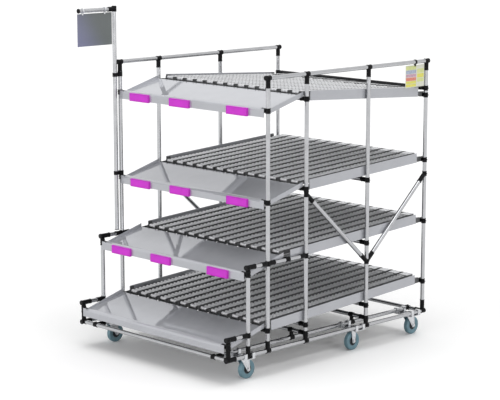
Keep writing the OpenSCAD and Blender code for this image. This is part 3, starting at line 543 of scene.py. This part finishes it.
# Info card: two leaves with plain colour bars on both faces. A bar: its tone, its top and its height.
CARD_W, CARD_H = 193.0, 150.0
CARD_INSET = 23.0
CARD_DROP = SLEEVE_R + 3.0
CARD_HALF_T = 0.9
BAR_SUNK, BAR_PROUD = 0.85, 1.0
LEFT_ROWS = [
    (LIME, 5, 26), (SLATE, 33, 24), (PLUM, 60, 20), (RED, 83, 22), (YELLOW, 107, 18), (YELLOW, 128, 18),
]
RIGHT_ROWS = [(LIME, 28, 28), (YELLOW, 60, 28), (LIME, 92, 24)]
COLUMNS = ((LEFT_ROWS, 4.0, 109.0), (RIGHT_ROWS, 119.0, 189.0))
card = Shape()
card_spot = Matrix.Translation(place(HALF_W, D_REAR - CARD_INSET - CARD_W, TOP - CARD_DROP))
card.box((-CARD_HALF_T, 0.0, -CARD_H), (CARD_HALF_T, CARD_W, 0.0), card_spot, slot=BASE_TONE)
for face in (-1, 1):
    x0, x1 = sorted((face * BAR_SUNK, face * BAR_PROUD))
    for rows, y0, y1 in COLUMNS:
        for tone, top, tall in rows:
            card.box((x0, y0, -top - tall), (x1, y1, -top), card_spot, slot=tone)
card.make("info_card_leaves", CARD_TONES, "card", replaces=["info_card"])


# Edges of the folded sheet, the tracks and the brackets
EDGES = {f"level_{n}_tray": 0.7 for n in LEVELS}
EDGES |= {f"level_{n}_side_rails": 0.8 for n in LEVELS}
EDGES |= {f"{end}_{hand}_fork": 0.7 for end in ("front", "rear") for hand in ("left", "right")}
EDGES |= {
    "label_holders": 1.6, "rail_brackets": 0.7, "pipe_clamps": 1.2, "caster_plates": 0.8, "fixed_forks": 0.7,
    "sign_sheet": 0.4, "pipe_caps": 1.2, "track_ends": 0.5, "track_clips": 1.0,
}
for name, width in EDGES.items():
    add_bevel(NODES[name], width, weld=True)


# Caster wheels: a tyre on a ribbed hub
WHEEL_D = 125.0
TRAIL = 44.0
AXLES = {"front": D_HALF + 2.0 + TRAIL, "middle": D_THIRD - 70.0, "rear": D_REAR - 84.0 + TRAIL}
TYRE_PROFILE = mirrored([
    (62.5, 7.0), (62.0, 11.5), (60.0, 14.6), (56.0, 16.0), (50.0, 15.8), (36.0, 14.6), (31.0, 13.0),
])
HUB_PROFILE = mirrored([
    (31.2, 10.0), (30.8, 13.0), (27.5, 12.0), (25.0, 7.2), (20.0, 7.2), (16.5, 9.0), (15.5, 17.5),
    (13.5, 19.0), (6.2, 19.0),
])
RIBS = 6
RIB_FROM, RIB_TO = 15.0, 28.5
RIB_HALF_T = 2.2
RIB_EDGE = 0.8
RIB_BANDS = ((-11.5, -6.5), (6.5, 11.5))
for end, d in AXLES.items():
    for hand, side in (("left", -1), ("right", 1)):
        name = f"{end}_{hand}"
        centre = Matrix.Translation((side * MOUNT_X, d - Y_MID, WHEEL_D / 2)) @ aim(AX)
        tyre = Shape()
        tyre.lathe(TYRE_PROFILE, centre, steps=64, closed=True)
        tyre.make(f"{name}_tyre", [TYRE], f"{name}_roller_wheel", replaces=[f"{name}_wheel"],
                  angle=50)
        hub = Shape()
        hub.lathe(HUB_PROFILE, centre, steps=48, closed=True)
        for k in range(RIBS):
            rib = centre @ Matrix.Rotation(2 * math.pi * k / RIBS, 4, "Z")
            for low, high in RIB_BANDS:
                hub.box((RIB_FROM, -RIB_HALF_T, low), (RIB_TO, RIB_HALF_T, high), rib, edge=RIB_EDGE)
        hub.make(f"{name}_hub", [HUB], f"{name}_roller_wheel")


# Floor and light
WHITE = (1, 1, 1, 1)
FLOOR_BOUNCE = (0.3, 0.3, 0.3, 1)
FLOOR_LIFT = 0.07
FLOOR_HALF = 60.0
WORLD_LIGHT = 0.42
WORLD_WHITE = 1.0


def seen_rays(nt):
    """1 for the rays that show the background: from the camera, off metal and through glass."""
    rays = nt.nodes.new("ShaderNodeLightPath")
    first = nt.nodes.new("ShaderNodeMath")
    second = nt.nodes.new("ShaderNodeMath")
    first.operation = second.operation = "MAXIMUM"
    nt.links.new(rays.outputs["Is Camera Ray"], first.inputs[0])
    nt.links.new(rays.outputs["Is Glossy Ray"], first.inputs[1])
    nt.links.new(first.outputs[0], second.inputs[0])
    nt.links.new(rays.outputs["Is Transmission Ray"], second.inputs[1])
    return second.outputs[0]


def floor_material():
    """White floor that keeps the shadow, lifted a little where it is seen."""
    mat = bpy.data.materials.new("pale_floor")
    mat.use_nodes = True
    nt = mat.node_tree
    nt.nodes.clear()
    out = nt.nodes.new("ShaderNodeOutputMaterial")
    bounce = nt.nodes.new("ShaderNodeBsdfDiffuse")
    bounce.inputs["Color"].default_value = FLOOR_BOUNCE
    white = nt.nodes.new("ShaderNodeBsdfDiffuse")
    white.inputs["Color"].default_value = WHITE
    glow = nt.nodes.new("ShaderNodeEmission")
    glow.inputs["Color"].default_value = WHITE
    glow.inputs["Strength"].default_value = FLOOR_LIFT
    lifted = nt.nodes.new("ShaderNodeAddShader")
    mix = nt.nodes.new("ShaderNodeMixShader")
    nt.links.new(white.outputs[0], lifted.inputs[0])
    nt.links.new(glow.outputs[0], lifted.inputs[1])
    nt.links.new(seen_rays(nt), mix.inputs[0])
    nt.links.new(bounce.outputs[0], mix.inputs[1])
    nt.links.new(lifted.outputs[0], mix.inputs[2])
    nt.links.new(mix.outputs[0], out.inputs["Surface"])
    return mat


def add_floor():
    mesh = bpy.data.meshes.new("floor")
    corners = [(-1, -1), (1, -1), (1, 1), (-1, 1)]
    mesh.from_pydata([(x * FLOOR_HALF, y * FLOOR_HALF, 0) for x, y in corners], [], [(0, 1, 2, 3)])
    mesh.materials.append(floor_material())
    floor = bpy.data.objects.new("floor", mesh)
    bpy.context.scene.collection.objects.link(floor)


def add_world():
    """Plain light for the object, and a white background for the rays that show it."""
    world = bpy.data.worlds.new("studio")
    bpy.context.scene.world = world
    world.use_nodes = True
    nt = world.node_tree
    nt.nodes.clear()
    out = nt.nodes.new("ShaderNodeOutputWorld")
    light = nt.nodes.new("ShaderNodeBackground")
    light.inputs["Color"].default_value = WHITE
    light.inputs["Strength"].default_value = WORLD_LIGHT
    white = nt.nodes.new("ShaderNodeBackground")
    white.inputs["Color"].default_value = WHITE
    white.inputs["Strength"].default_value = WORLD_WHITE
    mix = nt.nodes.new("ShaderNodeMixShader")
    nt.links.new(seen_rays(nt), mix.inputs[0])
    nt.links.new(light.outputs[0], mix.inputs[1])
    nt.links.new(white.outputs[0], mix.inputs[2])
    nt.links.new(mix.outputs[0], out.inputs["Surface"])


def sun_light(name, source, strength, spread):
    """Parallel soft light that comes from the direction of source."""
    data = bpy.data.lights.new(name, "SUN")
    data.energy = strength
    data.angle = math.radians(spread)
    obj = bpy.data.objects.new(name, data)
    obj.rotation_euler = (-Vector(source)).to_track_quat("-Z", "Y").to_euler()
    bpy.context.scene.collection.objects.link(obj)


add_floor()
add_world()
sun_light("key", (0.1, 0.1, 0.97), 1.6, 60)
sun_light("fill", (-0.1, -0.95, 0.12), 1.4, 40)
sun_light("side", (0.95, -0.1, 0.1), 1.05, 40)

# Camera, solved from the photo: focal length in pixels, place from the first posts and the base pipe
IMAGE_W = 500.0
FOCAL_PX = 1770.5
SENSOR_W = 36.0
AZIMUTH = math.radians(45.42)
PITCH = math.radians(10.246)
CAMERA_X, CAMERA_D, CAMERA_H = 8446.3, -7782.7, 2962.8
camera = bpy.data.cameras.new("camera")
camera.sensor_width = SENSOR_W
camera.sensor_fit = "HORIZONTAL"
camera.lens = FOCAL_PX * SENSOR_W / IMAGE_W
camera.clip_end = 200.0
cam = bpy.data.objects.new("camera", camera)
cam.location = place(CAMERA_X, CAMERA_D + D_FIRST, CAMERA_H) * MM
look = Vector((-math.sin(AZIMUTH) * math.cos(PITCH), math.cos(AZIMUTH) * math.cos(PITCH), -math.sin(PITCH)))
cam.rotation_euler = look.to_track_quat("-Z", "Y").to_euler()
bpy.context.scene.collection.objects.link(cam)
bpy.context.scene.camera = cam
bpy.context.scene.view_settings.view_transform = "Standard"
